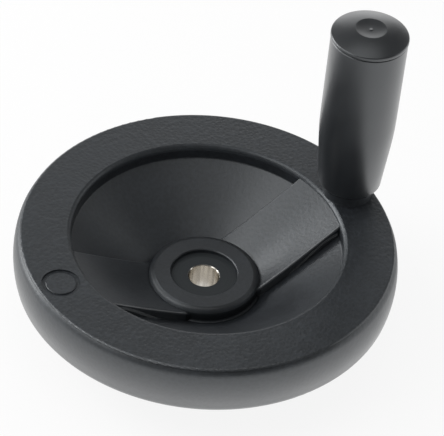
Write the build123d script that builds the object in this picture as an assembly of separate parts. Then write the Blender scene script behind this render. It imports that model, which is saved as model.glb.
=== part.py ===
from build123d import *
import math
import os

# Disc handwheel with a revolving side handle, in millimetres.
# The origin is on the wheel's axis, on the hub's back face. +Z runs from there towards the handle's
# side, and the handle stands on the rim at +X.

# --- wheel moulding: overall ---
wheel_diameter = 125.0
wheel_height = 35.0  # hub's back face to the rim's flat top
rim_thickness = 18.0  # flat top to the rim's lower edge

# --- wheel moulding: outer side of the rim ---
flat_inset = 2.5  # widest radius to the outer edge of the rim's flat top
bead_radius = 0.85  # rounded bead round the flat top
bead_turn = 68.0  # degrees that the bead turns before the parting line
parting_drop = 0.85  # bottom of the parting groove below the flat top
parting_depth = 0.3  # groove into the bead
parting_lip = 0.25  # bottom of the groove to the top of the belly
belly_face_turn = 12.8  # degrees from the widest place to each end of its flat arc
belly_turn = 46.5  # degrees from the widest place to each end of the belly
belly_shoulder_radius = 3.5  # tighter arcs above and below the flat one
lower_edge_height = 0.55  # lower end of the belly above the rim's lower edge
lower_edge_fillet = 0.6

# --- wheel moulding: dish, web and spokes ---
rim_width = 18.3  # widest radius to the dish's wall
dish_wall_depth = 5.25  # flat top to the web at the dish's wall
dish_lip_fillet = 1.2
dish_root_fillet = 0.5
web_thickness = 5.0
spoke_width = 26.6
spoke_drop = 1.35  # flat top to the spoke at the dish's wall
spoke_edge_fillet = 0.8

# --- wheel moulding: hub ---
hub_diameter = 36.0
hub_length = 18.6
hub_stand = 5.6  # hub's front face above the web at its foot
hub_edge_fillet = 1.5
hub_root_fillet = 0.8
hub_back_chamfer = 0.6

# --- wheel moulding: hollow back ---
rim_outer_wall = 5.5  # at the widest place
rim_top_wall = 5.0
rim_inner_wall = 4.5
skirt_wall = 4.0
skirt_root_chamfer = 2.0
skirt_edge_chamfer = 0.8
channel_chamfer = 1.0
rib_count = 18
rib_thickness = 2.5
rib_setback = 1.5  # ribs stop short of the rim's lower edge
insert_boss_wall = 3.0
spoke_core_wall = 4.0  # wall left on each long side of the core behind a spoke
spoke_core_rib = 3.5  # rib that is left along the middle of the core
spoke_core_hub_wall = 3.0
spoke_core_rim_wall = 2.5

# --- wheel moulding: boss that lifts the handle off the rim ---
handle_boss_diameter = 16.6
handle_boss_height = 3.8  # flat top to the seat of the handle's washer
handle_boss_chamfer = 0.4

# --- wheel moulding: plain round pad opposite the handle ---
pad_recess_radius = 6.15
pad_recess_depth = 0.6
pad_moat = 1.3  # width of the moat round the pad
pad_drop = 0.12  # pad below the flat top
pad_edge_chamfer = 0.2

# --- hub bush ---
bore_diameter = 10.0
bore_chamfer = 0.3
bush_diameter = 21.8
bush_recess = 1.5  # bush's front face below the hub's front face
bush_mouth_chamfer = 0.3  # on the moulding's edge round the recess
bush_collar_length = 4.0  # round collar at each end of the hexagonal key
bush_key_depth = 0.2  # collar to the hexagon's corners

# --- handle: place on the wheel and running fits ---
handle_inset = 9.5  # widest radius to the handle's axis
running_clearance = 0.05  # radial, between the grip and the spindle
axial_play = 0.15  # at each end of the grip
washer_clearance = 0.1  # radial, between the washer and the spindle
thread_clearance = 0.05  # radial, between the thread envelopes

# --- rim insert ---
insert_diameter = 12.0
insert_length = 14.0
insert_groove_width = 2.0
insert_groove_depth = 0.6
insert_hole_chamfer = 0.3

# --- handle spindle ---
journal_diameter = 10.0
thread_diameter = 8.0
thread_length = 12.0
thread_chamfer = 0.8
undercut_width = 1.2
undercut_depth = 0.6
head_diameter = 15.0
head_height = 4.5
head_chamfer = 0.6
socket_width = 6.0  # across the flats
socket_depth = 3.0

# --- base washer ---
washer_diameter = 18.4
washer_thickness = 1.0
washer_edge_chamfer = 0.2

# --- grip ---
grip_length = 58.7
grip_radius = 12.35
grip_foot_inset = 1.95  # barrel's radius to the foot's, before the foot is rounded
grip_foot_fillet = 0.9
grip_taper_height = 22.6  # grip's foot to the corner between its cone and its barrel
grip_shoulder_fillet = 120.0  # long rounding of that corner
head_space_depth = 11.0
head_space_radius = 8.6
joint_chamfer = 0.3  # on the grip, below the groove between it and the cap

# --- cap ---
cap_radius = 12.5
cap_edge_height = 1.8
cap_edge_fillet = 0.6
cap_underside_chamfer = 0.8  # above the groove between the cap and the grip
cap_dome_rise = 2.9
cap_wall = 2.0  # between the dimple and the flat inside
cap_plug_length = 4.0
cap_plug_wall = 1.5
cap_plug_clearance = 0.05
snap_height = 0.3  # snap bead on the plug
snap_width = 1.6
dimple_radius = 5.0
dimple_slope = 1.1  # dimple's radius to that of its flat floor
dimple_depth = 0.6
dimple_fillet = 0.8
gate_mark_radius = 0.6
gate_mark_height = 0.2

# --- levels and radii that follow from the sizes above ---
rim_top = wheel_height
rim_bottom = rim_top - rim_thickness
wheel_radius = wheel_diameter / 2
flat_radius = wheel_radius - flat_inset
dish_radius = wheel_radius - rim_width
handle_reach = wheel_radius - handle_inset
seat_level = rim_top + handle_boss_height
hub_radius = hub_diameter / 2
web_fall = rim_top - dish_wall_depth - (hub_length - hub_stand)
slope_ratio = web_fall / (dish_radius - hub_radius)  # the web is a cone that falls to the hub
web_drop = web_thickness * math.hypot(1, slope_ratio)  # the web's thickness along the wheel's axis
channel_outer_radius = wheel_radius - rim_outer_wall
channel_inner_radius = dish_radius + rim_inner_wall
channel_top = rim_top - rim_top_wall
skirt_radius = channel_inner_radius - skirt_wall
rib_bottom = rim_bottom + rib_setback
bush_radius = bush_diameter / 2
bore_radius = bore_diameter / 2
bush_length = hub_length - bush_recess
insert_radius = insert_diameter / 2
insert_bottom = seat_level - insert_length
journal_radius = journal_diameter / 2
thread_radius = thread_diameter / 2
head_radius = head_diameter / 2
grip_bottom = seat_level + washer_thickness + axial_play
grip_top = grip_bottom + grip_length
head_seat = grip_top - head_space_depth
head_bottom = head_seat + axial_play
head_top = head_bottom + head_height
grip_bore_radius = journal_radius + running_clearance
cap_edge_top = grip_top + cap_edge_height
cap_plug_radius = head_space_radius - cap_plug_clearance
snap_level = grip_top - cap_plug_length / 2
through = 2.0  # how far a cutting tool runs past the face it cuts


def web_top(radius):
    """Height of the web's front face at this radius."""
    return rim_top - dish_wall_depth - (dish_radius - radius) * slope_ratio


def web_bottom(radius):
    """Height of the web's back face at this radius."""
    return web_top(radius) - web_drop


def spoke_top(radius):
    """Height of a spoke's front face at this radius."""
    return rim_top - spoke_drop - (dish_radius - radius) * slope_ratio


def turned(section):
    """Solid of revolution about Z, from a section drawn in radius and height."""
    return revolve(Plane.XZ * section, Axis.Z)


def eased(face, corners, cut=fillet):
    """The face with each (radius, height) corner rounded, or chamfered, by the third value."""
    for radius, height, size in corners:
        corner = face.vertices().sort_by_distance((radius, height))[0]
        face = cut(corner, size)
    return face


def prism(section, bottom, top):
    """A section drawn in plan, extruded between two levels."""
    return Pos(0, 0, bottom) * extrude(section, top - bottom)


# --- wheel moulding ---
def rim_belly(top, bottom):
    """Side of the rim between two levels: a flat arc with a tighter one above and below it."""
    sine_face = math.sin(math.radians(belly_face_turn))
    sine_end = math.sin(math.radians(belly_turn))
    half_height = (top - bottom) / 2
    face_radius = (half_height - belly_shoulder_radius * (sine_end - sine_face)) / sine_face
    face_centre = (wheel_radius - face_radius, (top + bottom) / 2)
    face = CenterArc(face_centre, face_radius, belly_face_turn, -2 * belly_face_turn)
    shoulder_share = belly_shoulder_radius / face_radius
    upper_centre = (face @ 0) + (Vector(*face_centre) - (face @ 0)) * shoulder_share
    lower_centre = (face @ 1) + (Vector(*face_centre) - (face @ 1)) * shoulder_share
    shoulder_turn = belly_turn - belly_face_turn
    upper = CenterArc(upper_centre, belly_shoulder_radius, belly_turn, -shoulder_turn)
    lower = CenterArc(lower_centre, belly_shoulder_radius, -belly_face_turn, -shoulder_turn)
    return [upper, face, lower]


def rim_side():
    """Outer side of the rim from the flat top down: bead, parting groove, belly."""
    bead_centre = (flat_radius, rim_top - bead_radius)
    bead = CenterArc(bead_centre, bead_radius, 90, -bead_turn)
    belly_top = rim_top - parting_drop - parting_lip
    belly = rim_belly(belly_top, rim_bottom + lower_edge_height)
    groove = ((bead @ 1).X - parting_depth, rim_top - parting_drop)
    return [bead, Line(bead @ 1, groove), Line(groove, belly[0] @ 0), *belly]


def turned_blank():
    """The moulding turned about its axis, with the rim still solid and no spokes."""
    side = rim_side()
    belly = side[-1]
    end, lean = belly @ 1, belly % 1
    lower_radius = end.X + lean.X / lean.Y * (rim_bottom - end.Y)
    outline = Polyline(
        end,
        (lower_radius, rim_bottom),
        (skirt_radius, rim_bottom),
        (skirt_radius, web_bottom(skirt_radius)),
        (hub_radius, web_bottom(hub_radius)),
        (hub_radius, hub_back_chamfer),
        (hub_radius - hub_back_chamfer, 0),
        (0, 0),
        (0, bush_length),
        (bush_radius, bush_length),
        (bush_radius, hub_length),
        (hub_radius, hub_length),
        (hub_radius, web_top(hub_radius)),
        (dish_radius, web_top(dish_radius)),
        (dish_radius, rim_top),
        (flat_radius, rim_top),
    )
    section = make_face(side + [outline])
    section = eased(section, [
        (lower_radius, rim_bottom, lower_edge_fillet),
        (hub_radius, hub_length, hub_edge_fillet),
        (hub_radius, web_top(hub_radius), hub_root_fillet),
        (dish_radius, web_top(dish_radius), dish_root_fillet),
        (dish_radius, rim_top, dish_lip_fillet),
    ])
    section = eased(section, cut=chamfer, corners=[
        (bush_radius, hub_length, bush_mouth_chamfer),
        (skirt_radius, rim_bottom, skirt_edge_chamfer),
        (skirt_radius, web_bottom(skirt_radius), skirt_root_chamfer),
    ])
    return turned(section)


def spoke_band():
    """Both spokes: slices of a cone above the web, with their long edges rounded."""
    inner = (bush_radius + hub_radius) / 2
    outer = dish_radius + spoke_drop / 2
    section = make_face(Polyline(
        (inner, web_bottom(inner)),
        (outer, web_bottom(outer)),
        (outer, spoke_top(outer)),
        (inner, spoke_top(inner)),
        close=True,
    ))
    slab = Pos(0, 0, rim_bottom) * Box(wheel_diameter, spoke_width, wheel_diameter)
    band = turned(section) & slab
    long_edges = [
        side.edges().filter_by(GeomType.LINE, reverse=True).sort_by(Axis.Z)[-1]
        for side in band.faces().filter_by(Axis.Y)
    ]
    return fillet(long_edges, spoke_edge_fillet)


def spoke_cores():
    """Pockets behind the spokes that keep the wall as thick as the web's."""
    inner = hub_radius + spoke_core_hub_wall
    outer = skirt_radius - spoke_core_rim_wall
    section = make_face(Polyline(
        (inner, 0),
        (outer, 0),
        (outer, spoke_top(outer) - web_drop),
        (inner, spoke_top(inner) - web_drop),
        close=True,
    ))
    core_width = spoke_width - 2 * spoke_core_wall
    slab = Box(wheel_diameter, core_width, wheel_diameter)
    middle_rib = Box(wheel_diameter, spoke_core_rib, wheel_diameter)
    return turned(section) & (slab - middle_rib)


def handle_boss():
    """Round boss that stands on the rim's flat top and carries the handle."""
    boss = prism(Circle(handle_boss_diameter / 2), channel_top, seat_level)
    boss = chamfer(boss.edges().group_by(Axis.Z)[-1], handle_boss_chamfer)
    return Pos(handle_reach, 0, 0) * boss


def rim_channel():
    """Hollow of the rim's back, which leaves the radial ribs and the insert's boss standing."""
    section = make_face(Polyline(
        (channel_inner_radius, rim_bottom - through),
        (channel_outer_radius, rim_bottom - through),
        (channel_outer_radius, channel_top - channel_chamfer),
        (channel_outer_radius - channel_chamfer, channel_top),
        (channel_inner_radius + channel_chamfer, channel_top),
        (channel_inner_radius, channel_top - channel_chamfer),
        close=True,
    ))
    rib_length = channel_outer_radius - channel_inner_radius + 2 * through
    rib = Rectangle(rib_length, rib_thickness)
    ribs = PolarLocations((channel_outer_radius + channel_inner_radius) / 2, rib_count) * rib
    boss = Pos(handle_reach, 0) * Circle(insert_radius + insert_boss_wall)
    standing = Sketch() + ribs + boss
    return turned(section) - prism(standing, rib_bottom, channel_top + through)


def pad_recess():
    """What is cut from the flat top, opposite the handle, to leave a plain pad in a round moat."""
    pad_radius = pad_recess_radius - pad_moat
    section = make_face(Polyline(
        (0, rim_top - pad_drop),
        (pad_radius - pad_edge_chamfer, rim_top - pad_drop),
        (pad_radius, rim_top - pad_drop - pad_edge_chamfer),
        (pad_radius, rim_top - pad_recess_depth),
        (pad_recess_radius, rim_top - pad_recess_depth),
        (pad_recess_radius, rim_top + through),
        (0, rim_top + through),
        close=True,
    ))
    return Pos(-handle_reach, 0, 0) * turned(section)


def make_wheel_body(bush_envelope, insert_envelope):
    """The whole moulding, with the bush and the insert moulded in."""
    body = turned_blank() + spoke_band() + handle_boss()
    body -= spoke_cores()
    body -= rim_channel()
    body -= pad_recess()
    body -= insert_envelope
    body -= bush_envelope
    return body


# --- hub bush ---
def make_bush_envelope():
    """Outside of the bush: a hexagonal key between two round collars."""
    key_radius = bush_radius - bush_key_depth
    key = RegularPolygon(key_radius, 6)
    collar = Circle(bush_radius)
    envelope = prism(collar, 0, bush_collar_length)
    envelope += prism(key, bush_collar_length, bush_length - bush_collar_length)
    envelope += prism(collar, bush_length - bush_collar_length, bush_length)
    return envelope


def make_hub_bush(envelope):
    """The bush with its reamed bore, chamfered at the front."""
    bush = envelope - prism(Circle(bore_radius), -through, bush_length + through)
    mouth = bush.edges().filter_by(GeomType.CIRCLE).sort_by(Axis.Z)[-2:].sort_by(SortBy.RADIUS)[0]
    return chamfer(mouth, bore_chamfer)


# --- rim insert ---
def make_insert_envelope():
    """Outside of the rim insert, with the groove that keys it into the moulding."""
    middle = insert_bottom + insert_length / 2
    groove = prism(
        Circle(insert_radius) - Circle(insert_radius - insert_groove_depth),
        middle - insert_groove_width / 2,
        middle + insert_groove_width / 2,
    )
    pin = prism(Circle(insert_radius), insert_bottom, seat_level)
    return Pos(handle_reach, 0, 0) * (pin - groove)


def make_rim_insert(envelope):
    """The insert with its threaded hole, drawn plain at the thread's outer diameter."""
    hole_radius = thread_radius + thread_clearance
    hole = prism(Circle(hole_radius), insert_bottom - through, seat_level + through)
    mouth = Pos(0, 0, seat_level - insert_hole_chamfer) * Cone(
        hole_radius,
        hole_radius + insert_hole_chamfer,
        insert_hole_chamfer,
        align=(Align.CENTER, Align.CENTER, Align.MIN),
    )
    return envelope - Pos(handle_reach, 0, 0) * (hole + mouth)


# --- handle, drawn about its own axis and then moved out to the rim ---
def make_spindle():
    """Shoulder screw: thread, undercut, plain journal and head with a hexagonal socket."""
    neck_radius = thread_radius - undercut_depth
    section = make_face(Polyline(
        (0, seat_level - thread_length),
        (thread_radius - thread_chamfer, seat_level - thread_length),
        (thread_radius, seat_level - thread_length + thread_chamfer),
        (thread_radius, seat_level - undercut_width),
        (neck_radius, seat_level - undercut_width),
        (neck_radius, seat_level),
        (journal_radius, seat_level),
        (journal_radius, head_bottom),
        (head_radius, head_bottom),
        (head_radius, head_top - head_chamfer),
        (head_radius - head_chamfer, head_top),
        (0, head_top),
        close=True,
    ))
    socket = RegularPolygon(socket_width / 2, 6, major_radius=False)
    return turned(section) - prism(socket, head_top - socket_depth, head_top + through)


def make_base_washer():
    """Thin washer that keeps the turning grip off its boss."""
    inner = journal_radius + washer_clearance
    outer = washer_diameter / 2
    section = make_face(Polyline(
        (inner, seat_level),
        (outer, seat_level),
        (outer, seat_level + washer_thickness - washer_edge_chamfer),
        (outer - washer_edge_chamfer, seat_level + washer_thickness),
        (inner, seat_level + washer_thickness),
        close=True,
    ))
    return turned(section)


def snap_profile(extra):
    """Triangular snap bead on the plug's wall, grown by the given amount for its groove."""
    reach = snap_height + extra
    half = snap_width / 2 + extra
    return make_face(Polyline(
        (cap_plug_radius - snap_height, snap_level - half),
        (cap_plug_radius, snap_level - half),
        (cap_plug_radius + reach, snap_level),
        (cap_plug_radius, snap_level + half),
        (cap_plug_radius - snap_height, snap_level + half),
        close=True,
    ))


def make_grip():
    """Tapered barrel with a bearing bore and a counterbore for the screw's head and the cap."""
    foot_radius = grip_radius - grip_foot_inset
    shoulder_level = grip_bottom + grip_taper_height
    section = make_face(Polyline(
        (foot_radius, grip_bottom),
        (grip_radius, shoulder_level),
        (grip_radius, grip_top - joint_chamfer),
        (grip_radius - joint_chamfer, grip_top),
        (head_space_radius, grip_top),
        (head_space_radius, head_seat),
        (grip_bore_radius, head_seat),
        (grip_bore_radius, grip_bottom),
        close=True,
    ))
    section = eased(section, [
        (foot_radius, grip_bottom, grip_foot_fillet),
        (grip_radius, shoulder_level, grip_shoulder_fillet),
    ])
    return turned(section) - turned(snap_profile(cap_plug_clearance))


def make_cap():
    """Domed cap with a dimple and the gate mark on top, and a snap-in plug below."""
    dome_radius = (cap_radius ** 2 + cap_dome_rise ** 2) / (2 * cap_dome_rise)
    dome_centre = cap_edge_top + cap_dome_rise - dome_radius
    dome_start = math.degrees(math.acos(dimple_radius / dome_radius))
    dome_end = math.degrees(math.acos(cap_radius / dome_radius))
    dome = CenterArc((0, dome_centre), dome_radius, dome_start, dome_end - dome_start)
    dimple_floor = (dome @ 0).Y - dimple_depth
    floor_radius = dimple_radius - dimple_slope
    plug_bore = cap_plug_radius - cap_plug_wall
    walls = Polyline(
        dome @ 1,
        (cap_radius, grip_top + cap_underside_chamfer),
        (cap_radius - cap_underside_chamfer, grip_top),
        (cap_plug_radius, grip_top),
        (cap_plug_radius, grip_top - cap_plug_length),
        (plug_bore, grip_top - cap_plug_length),
        (plug_bore, dimple_floor - cap_wall),
        (0, dimple_floor - cap_wall),
        (0, dimple_floor + gate_mark_height),
        (gate_mark_radius, dimple_floor + gate_mark_height),
        (gate_mark_radius, dimple_floor),
        (floor_radius, dimple_floor),
        dome @ 0,
    )
    section = eased(make_face([dome, walls]), [
        (cap_radius, cap_edge_top, cap_edge_fillet),
        (floor_radius, dimple_floor, dimple_fillet),
    ])
    return turned(section) + turned(snap_profile(0.0))


bush_envelope = make_bush_envelope()
insert_envelope = make_insert_envelope()
on_rim = Pos(handle_reach, 0, 0)
nodes = {
    "wheel_body": make_wheel_body(bush_envelope, insert_envelope),
    "hub_bush": make_hub_bush(bush_envelope),
    "rim_insert": make_rim_insert(insert_envelope),
    "handle_spindle": on_rim * make_spindle(),
    "base_washer": on_rim * make_base_washer(),
    "handle_grip": on_rim * make_grip(),
    "handle_cap": on_rim * make_cap(),
}

os.makedirs("parts", exist_ok=True)
for name, solid in nodes.items():
    export_step(solid, f"parts/{name}.step")
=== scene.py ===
"""Looks of a machine handwheel with a revolving handle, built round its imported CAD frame."""

import math

import bpy
from bpy.props import FloatProperty, FloatVectorProperty, PointerProperty
from mathutils import Matrix, Vector


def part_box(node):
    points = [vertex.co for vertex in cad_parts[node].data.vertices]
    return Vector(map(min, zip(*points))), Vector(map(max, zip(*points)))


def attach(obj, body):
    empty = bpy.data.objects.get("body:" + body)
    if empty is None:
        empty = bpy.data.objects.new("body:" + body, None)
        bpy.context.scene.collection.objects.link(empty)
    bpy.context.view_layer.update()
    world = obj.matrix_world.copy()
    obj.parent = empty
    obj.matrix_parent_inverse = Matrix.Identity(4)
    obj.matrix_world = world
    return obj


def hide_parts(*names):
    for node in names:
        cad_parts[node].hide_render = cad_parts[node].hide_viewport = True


bl_info = {
    "name": "Machine Handwheel",
    "version": (1, 0, 0),
    "blender": (4, 5, 0),
    "location": "View3D > Sidebar > Handwheel",
    "description": "Models and finishes a disc handwheel, its steel bush and its revolving handle",
    "category": "Object",
}

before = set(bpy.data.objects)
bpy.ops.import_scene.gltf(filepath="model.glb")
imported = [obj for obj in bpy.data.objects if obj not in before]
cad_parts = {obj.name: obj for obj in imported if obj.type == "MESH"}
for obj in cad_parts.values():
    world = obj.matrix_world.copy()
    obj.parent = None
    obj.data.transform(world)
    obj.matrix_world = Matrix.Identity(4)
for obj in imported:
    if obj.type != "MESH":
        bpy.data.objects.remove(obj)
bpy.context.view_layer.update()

MM = 0.001
HALF_TURN = math.pi
FULL_TURN = 2 * math.pi

# Sizes that the frame gives
WHEEL_LOW, WHEEL_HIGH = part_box("wheel_body")
GRIP_LOW, GRIP_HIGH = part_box("handle_grip")
CAP_LOW, CAP_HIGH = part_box("handle_cap")
HANDLE_REACH = (GRIP_LOW.x + GRIP_HIGH.x) / 2
GRIP_RADIUS = (GRIP_HIGH.x - GRIP_LOW.x) / 2
GRIP_FOOT = GRIP_LOW.z
GRIP_TOP = GRIP_HIGH.z
CAP_RADIUS = (CAP_HIGH.x - CAP_LOW.x) / 2
PLUG_FOOT = CAP_LOW.z

# How finely round shapes are modelled
SPIN_STEPS = 160
DOME_STEPS = 7
ARC_STEP = math.radians(9)
FEWEST_ARC_STEPS = 3
MERGE_DISTANCE = 0.0005 * MM
SMOOTH_ANGLE = math.radians(32)

# Skin and relief of the plastics
PLASTIC_IOR = 1.6
PLASTIC_TINT = (0.88, 0.95, 1.0, 1.0)
SKIN_ROUGHNESS = 0.38
WHEEL_SKIN_IOR = 2.2
WASHER_SKIN_ROUGHNESS = 0.3
WHEEL_GRAIN_DEPTH = 0.17 * MM
HANDLE_GRAIN_DEPTH = 0.008 * MM
HANDLE_GRAIN_CELL = 0.8 * MM
HANDLE_RING_PITCH = 0.4 * MM

# Relief and patterns of the metals
TURNED_DEPTH = 0.01 * MM
REAMED_STREAK = 2.5 * MM
SPINDLE_CLOUD = 1.6 * MM
BRASS_CLOUD = 1.2 * MM

# The stage
SENSOR_WIDTH_MM = 36.0
FLOOR_SIZE = 8.0
WHITE = (1, 1, 1, 1)
FLOOR_COLOUR = (0.95, 0.95, 0.95, 1)
BACKDROP_TOP = math.sin(math.radians(15))  # rise of a look to where its white has faded out
SOFTBOX_DISTANCE = 0.85
SOFTBOX_SIZE = 0.5
SOFTBOXES = (  # name, its power's setting, azimuth clockwise from the far side, elevation
    ("key_softbox", "key_power", -70, 20),
    ("front_softbox", "front_power", -110, 50),
    ("rear_softbox", "rear_power", 0, 20),
    ("side_softbox", "side_power", 70, 20),
    ("overhead_softbox", "overhead_power", 0, 88),
)


# --- settings ---
def length_setting(name, description, millimetres):
    """A property for a length, given in millimetres."""
    return FloatProperty(
        name=name,
        description=description,
        default=millimetres * MM,
        min=0.0,
        unit="LENGTH",
        precision=5,
    )


def angle_setting(name, description, degrees):
    """A property for an angle, given in degrees."""
    return FloatProperty(
        name=name,
        description=description,
        default=math.radians(degrees),
        subtype="ANGLE",
    )


def colour_setting(name, description, default):
    """A property for a linear colour."""
    return FloatVectorProperty(
        name=name,
        description=description,
        default=default,
        size=3,
        min=0.0,
        max=1.0,
        subtype="COLOR",
    )


def share_setting(name, description, default):
    """A property between 0 and 1."""
    return FloatProperty(
        name=name,
        description=description,
        default=default,
        min=0.0,
        max=1.0,
        subtype="FACTOR",
    )


def power_setting(name, description, watts):
    """A property for a lamp's power."""
    return FloatProperty(name=name, description=description, default=watts, min=0.0, unit="POWER")


class HandwheelWheelSettings(bpy.types.PropertyGroup):
    """Sizes of the moulding that its finish follows, and its finish"""

    plastic_colour: colour_setting(
        "Plastic colour", "Colour of the wheel's glass-filled plastic", (0.0145, 0.0172, 0.0210)
    )
    dish_radius: length_setting("Dish radius", "Axis to the wall round the dish", 44.2)
    dish_lip: length_setting("Dish lip", "Radius that rounds the dish's edge", 1.2)
    hub_radius: length_setting("Hub radius", "Radius of the hub", 18.0)
    hub_rounding: length_setting("Hub rounding", "Radius that rounds the hub's edge", 1.5)
    hub_front: length_setting("Hub front", "Height of the hub's front face", 18.6)
    rim_top: length_setting("Rim top", "Height of the rim's flat top", 35.0)
    web_foot: length_setting("Web foot", "Height of the web where it meets the hub", 13.0)
    web_brim: length_setting("Web brim", "Height of the web where it meets the dish's wall", 29.75)
    spoke_width: length_setting("Spoke width", "Width of a spoke", 26.6)
    spoke_rounding: length_setting("Spoke rounding", "Radius that rounds its long edges", 0.8)
    grain_cell: length_setting("Grain cell", "Width of one cell of the moulded grain", 1.2)
    rim_roughness: share_setting("Rim roughness", "Roughness of the grained rim", 0.50)
    dish_roughness: share_setting("Dish roughness", "Roughness of the smoother dish", 0.46)
    shine: share_setting("Shine", "Weight of the skin on the rim's top and in the dish", 0.255)
    rim_flat_radius: length_setting("Rim flat radius", "Outer edge of the rim's flat top", 60.0)


class HandwheelBushSettings(bpy.types.PropertyGroup):
    """Finish of the hub's steel bush"""

    face_colour: colour_setting(
        "Face colour", "Colour of the blackened steel face", (0.046, 0.052, 0.056)
    )
    bore_colour: colour_setting(
        "Bore colour", "Colour of the bright reamed bore", (0.62, 0.59, 0.54)
    )
    bore_radius: length_setting("Bore radius", "Radius of the bore with its chamfer", 5.3)
    ring_pitch: length_setting("Ring pitch", "Distance between the turning marks", 0.35)


class HandwheelHandleSettings(bpy.types.PropertyGroup):
    """Sizes and finish of the grip and its cap"""

    plastic_colour: colour_setting(
        "Plastic colour", "Colour of the handle's smoother plastic", (0.0080, 0.0096, 0.0118)
    )
    roughness: share_setting("Roughness", "Roughness of the grip and the cap", 0.36)
    bearing_radius: length_setting("Bearing radius", "Bore that turns on the spindle", 5.05)
    head_space_radius: length_setting("Head space radius", "Counterbore for the screw's head", 8.6)
    head_space_depth: length_setting("Head space depth", "Depth of that counterbore", 11.0)
    foot_inset: length_setting("Foot inset", "Barrel's radius to the foot's", 1.95)
    foot_rounding: length_setting("Foot rounding", "Radius that rounds the foot", 0.9)
    taper_height: length_setting("Taper height", "Foot to where the cone meets the barrel", 22.6)
    shoulder_rounding: length_setting("Shoulder rounding", "Radius that blends them", 120.0)
    joint_rise: length_setting("Joint rise", "Grip's top in the frame to the joint", 0.4)
    joint_chamfer: length_setting("Joint chamfer", "Chamfer of the grip below the cap", 0.2)
    cap_underside: length_setting("Cap underside", "Chamfer of the cap above the grip", 0.4)
    cap_edge_height: length_setting("Cap edge height", "Height of the cap's side", 1.8)
    cap_edge_rounding: length_setting("Cap edge rounding", "Radius of the cap's edge", 0.6)
    dome_rise: length_setting("Dome rise", "Rise of the cap's dome above its side", 2.9)
    plug_radius: length_setting("Plug radius", "Radius of the plug that snaps in", 8.55)
    plug_wall: length_setting("Plug wall", "Wall of the plug and the cap", 1.5)
    dimple_radius: length_setting("Dimple radius", "Radius of the dimple on the cap", 5.0)
    dimple_slope: length_setting("Dimple slope", "Dimple's radius to the middle of its bowl", 2.5)
    dimple_depth: length_setting("Dimple depth", "Depth of the dimple", 0.5)
    dimple_rounding: length_setting("Dimple rounding", "Radius of its bowl", 15.0)
    dimple_lip: length_setting("Dimple lip", "Radius round its edge", 0.5)
    gate_mark_radius: length_setting("Gate mark radius", "Radius of the moulding's gate mark", 0.6)
    gate_mark_height: length_setting("Gate mark height", "Height of the gate mark", 0.2)
    # Painted highlight: the gate mark is coloured much lighter than the plastic, to copy the light
    # that it catches
    gate_mark_highlight: colour_setting(
        "Gate mark colour", "Colour of the torn plastic at the gate mark", (0.16, 0.165, 0.17)
    )


class HandwheelStageSettings(bpy.types.PropertyGroup):
    """Camera and light"""

    view_turn: angle_setting(
        "View turn", "Turn of the view from looking along +Y towards +X", 33.3
    )
    view_elevation: angle_setting("View elevation", "Camera's height as an angle", 42.03)
    view_roll: angle_setting("View roll", "Lean of the camera", 5.92)
    view_height: length_setting("View height", "Height of the point that is looked at", 35.0)
    view_distance: length_setting("View distance", "Camera to that point", 810.2)
    view_right: length_setting("View right", "How far the camera stands to the right", 4.53)
    view_up: length_setting("View up", "How far the camera stands up", 5.55)
    focal_length: FloatProperty(
        name="Focal length",
        description="Focal length of the camera's lens",
        default=203.6,
        unit="CAMERA",
    )
    key_power: power_setting("Key power", "Power of the low softbox on the left", 4.3)
    front_power: power_setting("Front power", "Power of the high softbox at the front left", 2.0)
    rear_power: power_setting("Rear power", "Power of the low softbox behind the wheel", 0.64)
    side_power: power_setting("Side power", "Power of the low softbox on the right", 0.84)
    overhead_power: power_setting("Overhead power", "Power of the softbox above the wheel", 0.69)
    fill_strength: share_setting("Fill strength", "Light from all round on matt surfaces", 0.39)
    room_strength: share_setting("Room strength", "Brightness of the room in reflections", 0.114)
    floor_white: share_setting("Floor white", "How far the floor glows white by itself", 0.88)


# --- modelling in edit mode ---
def rounded_outline(corners, closed):
    """Points of an outline in radius and height, with each corner rounded by its third value."""
    points = []
    for index, (radius, height, rounding) in enumerate(corners):
        corner = Vector((radius, height))
        if not rounding:
            points.append(corner)
            continue
        before = (Vector(corners[index - 1][:2]) - corner).normalized()
        after = (Vector(corners[(index + 1) % len(corners)][:2]) - corner).normalized()
        half_angle = before.angle(after) / 2
        centre = corner + (before + after).normalized() * rounding / math.sin(half_angle)
        setback = rounding / math.tan(half_angle)
        first = corner + before * setback - centre
        last = corner + after * setback - centre
        turn = HALF_TURN - 2 * half_angle
        steps = max(FEWEST_ARC_STEPS, math.ceil(turn / ARC_STEP))
        for step in range(steps + 1):
            angle = turn * step / steps
            first_share = math.sin(turn - angle) / math.sin(turn)
            last_share = math.sin(angle) / math.sin(turn)
            points.append(centre + first * first_share + last * last_share)
    if closed:
        points.append(points[0])
    return points


def turned_piece(name, axis_x, points):
    """A piece spun from an outline in radius and height, about a vertical axis at this x."""
    bpy.ops.object.select_all(action="DESELECT")
    start = Vector((axis_x + points[0].x, 0, points[0].y))
    bpy.ops.mesh.primitive_plane_add(size=MM, location=start)
    piece = bpy.context.active_object
    piece.name = piece.data.name = name
    bpy.ops.object.mode_set(mode="EDIT")
    bpy.ops.mesh.merge(type="CENTER")
    for here, there in zip(points, points[1:]):
        step = there - here
        bpy.ops.mesh.extrude_vertices_move(TRANSFORM_OT_translate={"value": (step.x, 0, step.y)})
    bpy.ops.mesh.select_all(action="SELECT")
    bpy.ops.mesh.spin(steps=SPIN_STEPS, angle=FULL_TURN, center=(axis_x, 0, 0), axis=(0, 0, 1))
    bpy.ops.mesh.select_all(action="SELECT")
    bpy.ops.mesh.remove_doubles(threshold=MERGE_DISTANCE)
    bpy.ops.mesh.normals_make_consistent(inside=False)
    bpy.ops.object.mode_set(mode="OBJECT")
    bpy.ops.object.transform_apply(location=True, rotation=True, scale=True)
    bpy.ops.object.shade_smooth_by_angle(angle=SMOOTH_ANGLE)
    return piece


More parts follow.
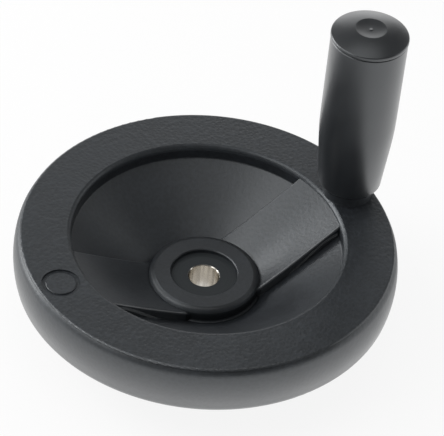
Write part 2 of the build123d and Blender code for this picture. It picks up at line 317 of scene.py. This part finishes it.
# --- materials ---
def add_node(tree, kind, sockets=None, **attributes):
    """A node with its attributes set and its sockets given values or linked."""
    node = tree.nodes.new(kind)
    for attribute, value in attributes.items():
        setattr(node, attribute, value)
    for socket, value in (sockets or {}).items():
        if isinstance(value, bpy.types.NodeSocket):
            tree.links.new(value, node.inputs[socket])
        else:
            node.inputs[socket].default_value = value
    return node


def calculated(tree, operation, *values):
    """The result of a Math node on two values or sockets."""
    node = add_node(tree, "ShaderNodeMath", dict(enumerate(values)), operation=operation)
    return node.outputs["Value"]


def product(tree, *masks):
    """What several masks or values multiply to."""
    result = masks[0]
    for mask in masks[1:]:
        result = calculated(tree, "MULTIPLY", result, mask)
    return result


def vector_math(tree, operation, *values):
    """The node of a Vector Math operation."""
    return add_node(tree, "ShaderNodeVectorMath", dict(enumerate(values)), operation=operation)


def ranged(tree, value, low, high, to_low=0.0, to_high=1.0):
    """A value taken smoothly from one range to another and held at its ends."""
    limits = {"From Min": low, "From Max": high, "To Min": to_low, "To Max": to_high}
    return add_node(
        tree, "ShaderNodeMapRange", {"Value": value, **limits}, interpolation_type="SMOOTHSTEP"
    ).outputs["Result"]


def blended(tree, share, first, second):
    """A value that goes from the first to the second as a share goes from 0 to 1."""
    return ranged(tree, share, 0.0, 1.0, first, second)


def mixed_colour(tree, share, first, second):
    """One colour mixed into another."""
    sockets = {"Factor": share, "A": first, "B": second}
    node = tree.nodes.new("ShaderNodeMix")
    node.data_type = "RGBA"
    for name, value in sockets.items():
        socket = next(s for s in node.inputs if s.name == name and s.enabled)
        if isinstance(value, bpy.types.NodeSocket):
            tree.links.new(value, socket)
        else:
            socket.default_value = value
    return next(s for s in node.outputs if s.enabled)


def shade_of(colour, factor=1.0):
    """A colour made lighter or darker, with its alpha."""
    return (*(channel * factor for channel in colour), 1.0)


def toned(tree, share, colour, dark, light):
    """A colour that goes from a darker shade to a lighter one as a share goes from 0 to 1."""
    return mixed_colour(tree, share, shade_of(colour, dark), shade_of(colour, light))


def shader_group(name, inputs, outputs):
    """A node group with these sockets, its input node and its output node."""
    tree = bpy.data.node_groups.new(name, "ShaderNodeTree")
    for in_out, sockets in (("INPUT", inputs), ("OUTPUT", outputs)):
        for socket in sockets:
            kind = "NodeSocketVector" if socket == "Vector" else "NodeSocketFloat"
            tree.interface.new_socket(socket, in_out=in_out, socket_type=kind)
    return tree, tree.nodes.new("NodeGroupInput"), tree.nodes.new("NodeGroupOutput")


def moulded_grain_group():
    """Grain that a textured mould leaves on plastic, with the uneven tone of the surface."""
    tree, given, result = shader_group(
        "Moulded grain",
        ["Vector", "Cells per Metre"],
        ["Height", "Tone", "Polish"],
    )
    cell_softness = 0.6
    fine_per_cell = 2.2
    fine_height = 0.6
    clouds_per_cell = 0.08
    vector = given.outputs["Vector"]
    cells_per_metre = given.outputs["Cells per Metre"]
    cells = add_node(
        tree,
        "ShaderNodeTexVoronoi",
        {"Vector": vector, "Scale": cells_per_metre, "Smoothness": cell_softness},
        feature="SMOOTH_F1",
    ).outputs["Distance"]
    fine_scale = calculated(tree, "MULTIPLY", cells_per_metre, fine_per_cell)
    fine = add_node(
        tree, "ShaderNodeTexNoise", {"Vector": vector, "Scale": fine_scale, "Detail": 2.0}
    ).outputs["Fac"]
    cloud_scale = calculated(tree, "MULTIPLY", cells_per_metre, clouds_per_cell)
    clouds = add_node(
        tree, "ShaderNodeTexNoise", {"Vector": vector, "Scale": cloud_scale, "Detail": 3.0}
    ).outputs["Fac"]
    height = calculated(tree, "ADD", cells, calculated(tree, "MULTIPLY", fine, fine_height))
    tone = ranged(tree, calculated(tree, "ADD", height, clouds), 0.9, 1.9)
    tree.links.new(height, result.inputs["Height"])
    tree.links.new(tone, result.inputs["Tone"])
    tree.links.new(ranged(tree, clouds, 0.3, 0.7), result.inputs["Polish"])


def turning_marks_group():
    """Fine rings that a lathe leaves round an axis, and the distance from that axis."""
    tree, given, result = shader_group(
        "Turning marks",
        ["Vector", "Rings per Metre"],
        ["Height", "Tone", "Radius"],
    )
    flat = vector_math(tree, "MULTIPLY", given.outputs["Vector"], (1, 1, 0)).outputs["Vector"]
    radius = vector_math(tree, "LENGTH", flat).outputs["Value"]
    rings = calculated(tree, "MULTIPLY", radius, given.outputs["Rings per Metre"])
    marks = add_node(
        tree,
        "ShaderNodeTexNoise",
        {"W": rings, "Scale": 1.0, "Detail": 2.0},
        noise_dimensions="1D",
    ).outputs["Fac"]
    tree.links.new(marks, result.inputs["Height"])
    tree.links.new(ranged(tree, marks, 0.3, 0.7), result.inputs["Tone"])
    tree.links.new(radius, result.inputs["Radius"])


def group_node(tree, group, **sockets):
    """A node group placed in a material; an underscore in a socket's name stands for a space."""
    node = tree.nodes.new("ShaderNodeGroup")
    node.node_tree = bpy.data.node_groups[group]
    for name, value in sockets.items():
        socket = node.inputs[name.replace("_", " ")]
        if isinstance(value, bpy.types.NodeSocket):
            tree.links.new(value, socket)
        else:
            socket.default_value = value
    return node.outputs


def object_coordinates(tree, axis_x=0.0):
    """Object coordinates, measured from a vertical axis at this x."""
    coordinates = tree.nodes.new("ShaderNodeTexCoord").outputs["Object"]
    return add_node(
        tree, "ShaderNodeMapping", {"Vector": coordinates, "Location": (-axis_x, 0, 0)}
    ).outputs["Vector"]


def new_material(name):
    """A material, its node tree and its Principled shader."""
    material = bpy.data.materials.new(name)
    material.use_nodes = True
    return material, material.node_tree, material.node_tree.nodes["Principled BSDF"]


def new_plastic(name, skin_roughness, skin_ior=PLASTIC_IOR):
    """A material as new_material gives it, with the smooth skin of a filled black plastic."""
    material, tree, shader = new_material(name)
    shader.inputs["IOR"].default_value = PLASTIC_IOR
    shader.inputs["Specular Tint"].default_value = PLASTIC_TINT
    shader.inputs["Coat Weight"].default_value = 1.0
    shader.inputs["Coat IOR"].default_value = skin_ior
    shader.inputs["Coat Roughness"].default_value = skin_roughness
    return material, tree, shader


def within(tree, value, low, high, blur):
    """1 where a value lies between two limits and 0 elsewhere, with soft ends."""
    return product(
        tree, ranged(tree, value, low - blur, low), ranged(tree, value, high + blur, high)
    )


def add_bump(tree, shader, height, depth):
    """Relief of this depth in metres on a shader, with the normal that it gives."""
    bump = add_node(tree, "ShaderNodeBump", {"Height": height, "Distance": depth, "Strength": 1.0})
    tree.links.new(bump.outputs["Normal"], shader.inputs["Normal"])
    return bump.outputs["Normal"]


def slanted(tree, normal, flat, share, slope):
    """A normal that leans out from the wheel's axis by a slope, or in where it is negative.

    flat is the place in plan, and share says how much of the new normal is taken.
    """
    away = vector_math(tree, "NORMALIZE", flat).outputs["Vector"]
    leaning = vector_math(tree, "MULTIPLY_ADD", away, (slope, slope, 0), (0, 0, 1))
    in_world = add_node(
        tree,
        "ShaderNodeVectorTransform",
        {"Vector": leaning.outputs["Vector"]},
        vector_type="NORMAL",
        convert_from="OBJECT",
        convert_to="WORLD",
    ).outputs["Vector"]
    return add_node(
        tree, "ShaderNodeMix", {0: share, 4: normal, 5: in_world}, data_type="VECTOR"
    ).outputs[1]


def wheel_regions(tree, settings, radius, height, across):
    """Masks of the moulding's regions; across is the distance from the handle's plane.

    The spoke wall is a band about a millimetre high on a spoke's side. It follows an S-shaped
    rise, so it also crosses the web, where it leaves out the grain.
    """
    fine, soft = 0.1 * MM, 0.2 * MM
    rim_blend, grip_blend = 1.5 * MM, 1.0 * MM
    lip_height, lip_blur = 2.0 * MM, 0.05 * MM
    hub_edge_lead, hub_edge_blend, hub_wall_width = 0.3 * MM, 1.0 * MM, 1.2 * MM
    hub_gap, dish_wall_gap, gap_blur = 1.0 * MM, 0.6 * MM, 0.3 * MM
    band_foot, band_top = 0.15 * MM, 1.2 * MM
    spoke_edge_foot, spoke_edge_full = 1.4 * MM, 1.8 * MM
    lip_end = settings.dish_radius + settings.dish_lip
    edge_start = settings.hub_radius - settings.hub_rounding
    hub_edge_height = settings.hub_front - settings.hub_rounding
    spoke_edge = settings.spoke_width / 2
    # An S-shaped rise from the web's foot to its brim, up to 1.6 mm off its straight cone
    web_rise = ranged(
        tree,
        radius,
        settings.hub_radius,
        settings.dish_radius,
        settings.web_foot,
        settings.web_brim,
    )
    above_web = calculated(tree, "SUBTRACT", height, web_rise)
    over_web = within(
        tree,
        radius,
        settings.hub_radius + hub_gap,
        settings.dish_radius - dish_wall_gap,
        gap_blur,
    )
    return {
        "rim": ranged(tree, radius, settings.dish_radius, settings.dish_radius + rim_blend),
        "gripped": ranged(
            tree, radius, settings.rim_flat_radius, settings.rim_flat_radius + grip_blend
        ),
        "lip": product(
            tree,
            within(tree, radius, settings.dish_radius, lip_end, fine),
            within(tree, height, settings.rim_top - lip_height, settings.rim_top, lip_blur),
        ),
        "hub edge": product(
            tree,
            within(tree, radius, edge_start - hub_edge_lead, settings.hub_radius, soft),
            ranged(tree, height, hub_edge_height - hub_edge_blend, hub_edge_height),
        ),
        # The hub's side wall: here shade is painted into the colour and the polished skin is taken
        # away
        "hub wall shade": product(
            tree,
            within(
                tree,
                radius,
                settings.hub_radius - soft,
                settings.hub_radius + hub_wall_width,
                soft,
            ),
            ranged(tree, height, hub_edge_height + soft, hub_edge_height - soft),
        ),
        "spoke wall": product(
            tree, over_web, within(tree, above_web, band_foot, band_top, fine)
        ),
        "spoke edge": product(
            tree,
            within(tree, across, spoke_edge - settings.spoke_rounding, spoke_edge - fine, fine),
            over_web,
            ranged(tree, above_web, spoke_edge_foot, spoke_edge_full),
        ),
    }


def wheel_skin(tree, settings, on, height):
    """Weight of the polished skin: greatest low on the gripped side, none on the hub's wall."""
    lip_share = 0.6
    spoke_edge_shine = 0.5
    polish_start, polish_full = 1.5 * MM, 13.0 * MM
    skin = blended(tree, on["lip"], settings.shine, lip_share * settings.shine)
    skin = product(tree, skin, blended(tree, on["hub wall shade"], 1.0, 0.0))
    skin = calculated(tree, "MAXIMUM", skin, product(tree, on["spoke edge"], spoke_edge_shine))
    polished = add_node(
        tree,
        "ShaderNodeMapRange",
        {
            "Value": height,
            "From Min": settings.rim_top - polish_start,
            "From Max": settings.rim_top - polish_full,
            "To Min": settings.shine,
            "To Max": 1.0,
        },
    ).outputs["Result"]
    return calculated(tree, "MAXIMUM", skin, product(tree, on["gripped"], polished))


def wheel_plastic(settings):
    """Glass-filled plastic with a grained rim and a smoother dish and hub."""
    dark_tone, light_tone, hub_wall_painted_shade = 0.7, 1.35, 0.4
    polish_swing = 0.04
    dish_relief, gripped_relief, boss_relief = 0.3, 0.4, 0.1
    boss_start, boss_clear = 0.1 * MM, 0.4 * MM
    hub_edge_slant, lip_slant = 0.85, 0.4
    material, tree, shader = new_plastic("wheel_plastic", SKIN_ROUGHNESS, WHEEL_SKIN_IOR)
    place = object_coordinates(tree)
    grain = group_node(
        tree, "Moulded grain", Vector=place, Cells_per_Metre=1 / settings.grain_cell
    )
    flat = vector_math(tree, "MULTIPLY", place, (1, 1, 0)).outputs["Vector"]
    radius = vector_math(tree, "LENGTH", flat).outputs["Value"]
    axes = add_node(tree, "ShaderNodeSeparateXYZ", {0: place}).outputs
    height = axes["Z"]
    on = wheel_regions(tree, settings, radius, height, calculated(tree, "ABSOLUTE", axes["Y"]))

    plastic = toned(tree, grain["Tone"], settings.plastic_colour, dark_tone, light_tone)
    # Painted shade: the hub's side wall is coloured 0.4 times as dark as the plastic, to copy the
    # deep shadow under the hub's edge
    painted_shade_colour = shade_of(settings.plastic_colour, hub_wall_painted_shade)
    tree.links.new(
        mixed_colour(tree, on["hub wall shade"], plastic, painted_shade_colour), shader.inputs["Base Color"]
    )
    roughness = blended(tree, on["rim"], settings.dish_roughness, settings.rim_roughness)
    polish = blended(tree, grain["Polish"], -polish_swing, polish_swing)
    tree.links.new(calculated(tree, "ADD", roughness, polish), shader.inputs["Roughness"])
    tree.links.new(wheel_skin(tree, settings, on, height), shader.inputs["Coat Weight"])

    below_boss = ranged(
        tree,
        height,
        settings.rim_top + boss_clear,
        settings.rim_top + boss_start,
        boss_relief,
        1.0,
    )
    relief = product(
        tree,
        grain["Height"],
        blended(tree, on["rim"], dish_relief, 1.0),
        below_boss,
        blended(tree, on["gripped"], 1.0, gripped_relief),
    )
    web_slope = (settings.web_brim - settings.web_foot) / (
        settings.dish_radius - settings.hub_radius
    )
    normal = add_bump(tree, shader, relief, WHEEL_GRAIN_DEPTH)
    normal = slanted(tree, normal, flat, product(tree, on["hub edge"], hub_edge_slant), 1)
    normal = slanted(tree, normal, flat, product(tree, on["lip"], lip_slant), -1)
    normal = slanted(tree, normal, flat, on["spoke wall"], -web_slope)
    tree.links.new(normal, shader.inputs["Normal"])
    return material


def handle_plastic(settings):
    """Smoother plastic of the grip and the cap, with a faint grain."""
    dark_tone, light_tone = 0.9, 1.12
    polish_swing = 0.03
    material, tree, shader = new_plastic("handle_plastic", SKIN_ROUGHNESS)
    place = object_coordinates(tree, HANDLE_REACH)
    grain = group_node(tree, "Moulded grain", Vector=place, Cells_per_Metre=1 / HANDLE_GRAIN_CELL)
    marks = group_node(tree, "Turning marks", Vector=place, Rings_per_Metre=1 / HANDLE_RING_PITCH)
    skin = toned(tree, grain["Tone"], settings.plastic_colour, dark_tone, light_tone)
    # Painted highlight on the gate mark: its lighter colour copies the light that the small raised
    # pip catches
    gate_highlight_mask = ranged(
        tree, marks["Radius"], settings.gate_mark_radius, 0.5 * settings.gate_mark_radius
    )
    tree.links.new(
        mixed_colour(tree, gate_highlight_mask, skin, shade_of(settings.gate_mark_highlight)),
        shader.inputs["Base Color"],
    )
    roughness = blended(
        tree,
        grain["Polish"],
        settings.roughness - polish_swing,
        settings.roughness + polish_swing,
    )
    tree.links.new(roughness, shader.inputs["Roughness"])
    add_bump(tree, shader, grain["Height"], HANDLE_GRAIN_DEPTH)
    return material


def washer_plastic(settings):
    """Plain dark washer, polished by the grip that turns on it."""
    dark_tone, light_tone = 0.9, 1.3
    polished, dull = 0.22, 0.32
    material, tree, shader = new_plastic("washer_plastic", WASHER_SKIN_ROUGHNESS)
    place = object_coordinates(tree, HANDLE_REACH)
    marks = group_node(tree, "Turning marks", Vector=place, Rings_per_Metre=1 / HANDLE_RING_PITCH)
    colour = toned(tree, marks["Tone"], settings.plastic_colour, dark_tone, light_tone)
    tree.links.new(colour, shader.inputs["Base Color"])
    tree.links.new(blended(tree, marks["Tone"], polished, dull), shader.inputs["Roughness"])
    return material


def bush_steel(settings):
    """Blackened turned face with a bright reamed bore."""
    bore_edge = 0.1 * MM
    face_metal, bore_metal = 0.55, 1.0
    face_roughness, bore_roughness = 0.45, 0.2
    material, tree, shader = new_material("bush_steel")
    place = object_coordinates(tree)
    marks = group_node(
        tree, "Turning marks", Vector=place, Rings_per_Metre=1 / settings.ring_pitch
    )
    in_bore = ranged(
        tree, marks["Radius"], settings.bore_radius, settings.bore_radius - bore_edge
    )
    stretched_along_bore = vector_math(tree, "MULTIPLY", place, (1, 1, 0.05)).outputs["Vector"]
    streaks = add_node(
        tree,
        "ShaderNodeTexNoise",
        {"Vector": stretched_along_bore, "Scale": 1 / REAMED_STREAK, "Detail": 2.0},
    ).outputs["Fac"]
    face = toned(tree, marks["Tone"], settings.face_colour, 0.9, 1.1)
    reamed = toned(tree, ranged(tree, streaks, 0.35, 0.55), settings.bore_colour, 0.72, 1.15)
    tree.links.new(mixed_colour(tree, in_bore, face, reamed), shader.inputs["Base Color"])
    tree.links.new(blended(tree, in_bore, face_metal, bore_metal), shader.inputs["Metallic"])
    tree.links.new(
        blended(tree, in_bore, face_roughness, bore_roughness), shader.inputs["Roughness"]
    )
    add_bump(tree, shader, marks["Height"], TURNED_DEPTH)
    return material


def clouded_metal(name, cloud, dark, light, polished, dull):
    """Metal of the handle's hidden fixings, with an uneven tone and polish."""
    material, tree, shader = new_material(name)
    shader.inputs["Metallic"].default_value = 1.0
    place = object_coordinates(tree, HANDLE_REACH)
    grain = group_node(tree, "Moulded grain", Vector=place, Cells_per_Metre=1 / cloud)
    tree.links.new(mixed_colour(tree, grain["Tone"], dark, light), shader.inputs["Base Color"])
    tree.links.new(blended(tree, grain["Polish"], polished, dull), shader.inputs["Roughness"])
    return material


def spindle_steel():
    """Zinc-plated steel."""
    dark, light = (0.52, 0.53, 0.55, 1.0), (0.66, 0.67, 0.68, 1.0)
    return clouded_metal("spindle_steel", SPINDLE_CLOUD, dark, light, 0.3, 0.42)


def insert_brass():
    """Turned brass, dulled by the moulding's heat."""
    dark, light = (0.60, 0.45, 0.20, 1.0), (0.74, 0.58, 0.30, 1.0)
    return clouded_metal("insert_brass", BRASS_CLOUD, dark, light, 0.34, 0.48)


def finish_node(node, material):
    """A CAD node with its one material replaced."""
    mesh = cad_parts[node].data
    mesh.materials.clear()
    mesh.materials.append(material)


# --- operators ---
class HANDWHEEL_OT_wheel(bpy.types.Operator):
    """Finish the wheel's moulding in grained plastic"""

    bl_idname = "handwheel.wheel"
    bl_label = "Wheel Moulding"

    def execute(self, context):
        moulded_grain_group()
        finish_node("wheel_body", wheel_plastic(context.scene.handwheel_wheel))
        return {"FINISHED"}


class HANDWHEEL_OT_bush(bpy.types.Operator):
    """Finish the hub's steel bush, with its turned face and its reamed bore"""

    bl_idname = "handwheel.bush"
    bl_label = "Hub Bush"

    def execute(self, context):
        turning_marks_group()
        finish_node("hub_bush", bush_steel(context.scene.handwheel_bush))
        return {"FINISHED"}


class HANDWHEEL_OT_handle(bpy.types.Operator):
    """Model the handle's grip and its domed cap"""

    bl_idname = "handwheel.handle"
    bl_label = "Grip and Cap"

    def execute(self, context):
        settings = context.scene.handwheel_handle
        plastic = handle_plastic(settings)
        for name, node, points in (
            ("grip_barrel", "handle_grip", self.grip_outline(settings)),
            ("grip_cap", "handle_cap", self.cap_outline(settings)),
        ):
            piece = turned_piece(name, HANDLE_REACH, points)
            piece.data.materials.append(plastic)
            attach(piece, "grip")
            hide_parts(node)
        return {"FINISHED"}

    def grip_outline(self, settings):
        """Tapered barrel round its bearing bore and the counterbore for the screw's head."""
        head_seat = GRIP_TOP - settings.head_space_depth
        joint = GRIP_TOP + settings.joint_rise
        bore_rounding, edge_rounding = 0.2 * MM, 0.1 * MM
        mouth_rounding, seat_rounding = 0.15 * MM, 0.4 * MM
        return rounded_outline(
            [
                (settings.bearing_radius, GRIP_FOOT, bore_rounding),
                (GRIP_RADIUS - settings.foot_inset, GRIP_FOOT, settings.foot_rounding),
                (GRIP_RADIUS, GRIP_FOOT + settings.taper_height, settings.shoulder_rounding),
                (GRIP_RADIUS, joint - settings.joint_chamfer, edge_rounding),
                (GRIP_RADIUS - settings.joint_chamfer, joint, edge_rounding),
                (settings.head_space_radius, joint, mouth_rounding),
                (settings.head_space_radius, head_seat, seat_rounding),
                (settings.bearing_radius, head_seat, bore_rounding),
            ],
            closed=True,
        )

    def cap_outline(self, settings):
        """Domed cap over its hollow plug, with the dimple and the gate mark on top."""
        joint = GRIP_TOP + settings.joint_rise
        edge_top = GRIP_TOP + settings.cap_edge_height
        rise = settings.dome_rise
        dome_radius = (CAP_RADIUS ** 2 + rise ** 2) / (2 * rise)
        dome_centre = edge_top + rise - dome_radius
        dome = []
        for step in range(1, DOME_STEPS):
            radius = CAP_RADIUS + (settings.dimple_radius - CAP_RADIUS) * step / DOME_STEPS
            dome.append((radius, dome_centre + math.sqrt(dome_radius ** 2 - radius ** 2), 0))
        lip = dome_centre + math.sqrt(dome_radius ** 2 - settings.dimple_radius ** 2)
        floor = lip - settings.dimple_depth
        inside = floor - settings.plug_wall
        plug_bore = settings.plug_radius - settings.plug_wall
        gate_top = floor + settings.gate_mark_height
        inner_rounding, plug_rounding, plug_lead = 0.5 * MM, 0.2 * MM, 0.4 * MM
        under_rounding, side_rounding = 0.1 * MM, 0.2 * MM
        gate_foot_rounding, gate_top_rounding = 0.05 * MM, 0.1 * MM
        return rounded_outline(
            [
                (0, inside, 0),
                (plug_bore, inside, inner_rounding),
                (plug_bore, PLUG_FOOT, plug_rounding),
                (settings.plug_radius, PLUG_FOOT, plug_lead),
                (settings.plug_radius, joint, 0),
                (CAP_RADIUS - settings.cap_underside, joint, under_rounding),
                (CAP_RADIUS, joint + settings.cap_underside, side_rounding),
                (CAP_RADIUS, edge_top, settings.cap_edge_rounding),
                *dome,
                (settings.dimple_radius, lip, settings.dimple_lip),
                (settings.dimple_radius - settings.dimple_slope, floor, settings.dimple_rounding),
                (settings.gate_mark_radius, floor, gate_foot_rounding),
                (settings.gate_mark_radius, gate_top, gate_top_rounding),
                (0, gate_top, 0),
            ],
            closed=False,
        )


class HANDWHEEL_OT_fixings(bpy.types.Operator):
    """Finish the washer, the handle's spindle and the rim's threaded insert"""

    bl_idname = "handwheel.fixings"
    bl_label = "Washer, Spindle and Insert"

    def execute(self, context):
        finish_node("base_washer", washer_plastic(context.scene.handwheel_handle))
        finish_node("handle_spindle", spindle_steel())
        finish_node("rim_insert", insert_brass())
        return {"FINISHED"}


class HANDWHEEL_OT_stage(bpy.types.Operator):
    """Set the pale floor, the soft light and the camera"""

    bl_idname = "handwheel.stage"
    bl_label = "Stage"

    def execute(self, context):
        settings = context.scene.handwheel_stage
        turn = settings.view_turn
        self.right = Vector((math.cos(turn), -math.sin(turn), 0))
        self.far = Vector((math.sin(turn), math.cos(turn), 0))
        self.add_camera(context.scene, settings)
        self.add_floor(settings)
        self.light_surroundings(context.scene, settings)
        for name, power, azimuth, elevation in SOFTBOXES:
            self.add_softbox(name, azimuth, elevation, getattr(settings, power))
        context.scene.view_settings.view_transform = "Standard"
        return {"FINISHED"}

    def add_camera(self, scene, settings):
        """The camera, looking down at the wheel from the side opposite its handle."""
        elevation, roll = settings.view_elevation, settings.view_roll
        up = self.far * math.sin(elevation) + Vector((0, 0, math.cos(elevation)))
        forward = self.far * math.cos(elevation) - Vector((0, 0, math.sin(elevation)))
        leaning_right = self.right * math.cos(roll) + up * math.sin(roll)
        leaning_up = up * math.cos(roll) - self.right * math.sin(roll)
        place = Vector((0, 0, settings.view_height)) - forward * settings.view_distance
        place += leaning_right * settings.view_right + leaning_up * settings.view_up
        bpy.ops.object.camera_add(location=place)
        camera = bpy.context.active_object
        camera.name = "stage_camera"
        camera.rotation_euler = self.facing(leaning_right, leaning_up, -forward)
        camera.data.lens = settings.focal_length
        camera.data.sensor_width = SENSOR_WIDTH_MM
        scene.camera = camera

    def facing(self, x_axis, y_axis, z_axis):
        """Rotation of an object whose own axes point this way."""
        return Matrix((x_axis, y_axis, z_axis)).transposed().to_euler()

    def rays(self, tree):
        """1 for a look from the camera, and 1 for a look by way of a mirror or through glass."""
        path = tree.nodes.new("ShaderNodeLightPath").outputs
        mirrored = calculated(
            tree, "MAXIMUM", path["Is Glossy Ray"], path["Is Transmission Ray"]
        )
        return path["Is Camera Ray"], mirrored

    def add_floor(self, settings):
        """A pale floor that keeps the wheel's shadow."""
        bpy.ops.object.select_all(action="DESELECT")
        bpy.ops.mesh.primitive_plane_add(size=FLOOR_SIZE, location=(0, 0, WHEEL_LOW.z))
        floor = bpy.context.active_object
        floor.name = "stage_floor"
        material = bpy.data.materials.new("stage_floor")
        material.use_nodes = True
        tree = material.node_tree
        tree.nodes.clear()
        matt = add_node(tree, "ShaderNodeBsdfDiffuse", {"Color": FLOOR_COLOUR})
        glow = add_node(tree, "ShaderNodeEmission", {"Color": WHITE, "Strength": 1.0})
        looked_at, mirrored = self.rays(tree)
        looked_at = calculated(tree, "MULTIPLY", looked_at, settings.floor_white)
        share = calculated(tree, "MAXIMUM", looked_at, mirrored)
        surface = self.mixed_light(tree, share, matt.outputs[0], glow.outputs[0])
        add_node(tree, "ShaderNodeOutputMaterial", {"Surface": surface})
        floor.data.materials.append(material)

    def light_surroundings(self, scene, settings):
        """White to look at, an even fill, and in mirrors a white that fades upwards to dim."""
        world = bpy.data.worlds.new("stage_world")
        world.use_nodes = True
        tree = world.node_tree
        tree.nodes.clear()
        fill, room, backdrop = (
            add_node(
                tree, "ShaderNodeBackground", {"Color": WHITE, "Strength": strength}
            ).outputs["Background"]
            for strength in (settings.fill_strength, settings.room_strength, 1.0)
        )
        looked_at, mirrored = self.rays(tree)
        direction = tree.nodes.new("ShaderNodeTexCoord").outputs["Generated"]
        rise = add_node(tree, "ShaderNodeSeparateXYZ", {0: direction}).outputs["Z"]
        low = ranged(tree, rise, BACKDROP_TOP, 0.0)
        walls = self.mixed_light(tree, low, room, backdrop)
        unseen = self.mixed_light(tree, mirrored, fill, walls)
        seen = self.mixed_light(tree, looked_at, unseen, backdrop)
        add_node(tree, "ShaderNodeOutputWorld", {"Surface": seen})
        scene.world = world

    def mixed_light(self, tree, share, first, second):
        """One shader mixed into another."""
        return add_node(tree, "ShaderNodeMixShader", {0: share, 1: first, 2: second}).outputs[0]

    def add_softbox(self, name, azimuth, elevation, power):
        """A square softbox that faces the wheel; azimuth runs clockwise from the far side."""
        level, side = math.radians(elevation), math.radians(azimuth)
        direction = self.far * math.cos(side) + self.right * math.sin(side)
        direction = direction * math.cos(level) + Vector((0, 0, math.sin(level)))
        aim = Vector((0, 0, WHEEL_HIGH.z))
        bpy.ops.object.light_add(type="AREA", location=aim + direction * SOFTBOX_DISTANCE)
        softbox = bpy.context.active_object
        softbox.name = name
        softbox.rotation_euler = direction.to_track_quat("Z", "Y").to_euler()
        softbox.data.shape = "SQUARE"
        softbox.data.size = SOFTBOX_SIZE
        softbox.data.energy = power
        softbox.visible_camera = False


class HANDWHEEL_PT_sidebar(bpy.types.Panel):
    """Operators and settings of the handwheel"""

    bl_idname = "HANDWHEEL_PT_sidebar"
    bl_label = "Handwheel"
    bl_space_type = "VIEW_3D"
    bl_region_type = "UI"
    bl_category = "Handwheel"

    def draw(self, context):
        layout = self.layout
        for operator in OPERATORS:
            layout.operator(operator.bl_idname)
        for name, settings in SETTINGS.items():
            box = layout.box()
            for setting in settings.__annotations__:
                box.prop(getattr(context.scene, name), setting)


OPERATORS = (
    HANDWHEEL_OT_wheel,
    HANDWHEEL_OT_bush,
    HANDWHEEL_OT_handle,
    HANDWHEEL_OT_fixings,
    HANDWHEEL_OT_stage,
)
SETTINGS = {
    "handwheel_wheel": HandwheelWheelSettings,
    "handwheel_bush": HandwheelBushSettings,
    "handwheel_handle": HandwheelHandleSettings,
    "handwheel_stage": HandwheelStageSettings,
}


def register():
    """Add the settings, the operators and the sidebar panel to Blender."""
    for settings in SETTINGS.values():
        bpy.utils.register_class(settings)
    for cls in (*OPERATORS, HANDWHEEL_PT_sidebar):
        bpy.utils.register_class(cls)
    for name, settings in SETTINGS.items():
        setattr(bpy.types.Scene, name, PointerProperty(type=settings))


def unregister():
    """Take them away again."""
    for name in SETTINGS:
        delattr(bpy.types.Scene, name)
    for cls in (HANDWHEEL_PT_sidebar, *reversed(OPERATORS), *reversed(SETTINGS.values())):
        bpy.utils.unregister_class(cls)


def main():
    """Make every piece and the stage."""
    register()
    bpy.ops.handwheel.wheel()
    bpy.ops.handwheel.bush()
    bpy.ops.handwheel.handle()
    bpy.ops.handwheel.fixings()
    bpy.ops.handwheel.stage()


if __name__ == "__main__":
    main()
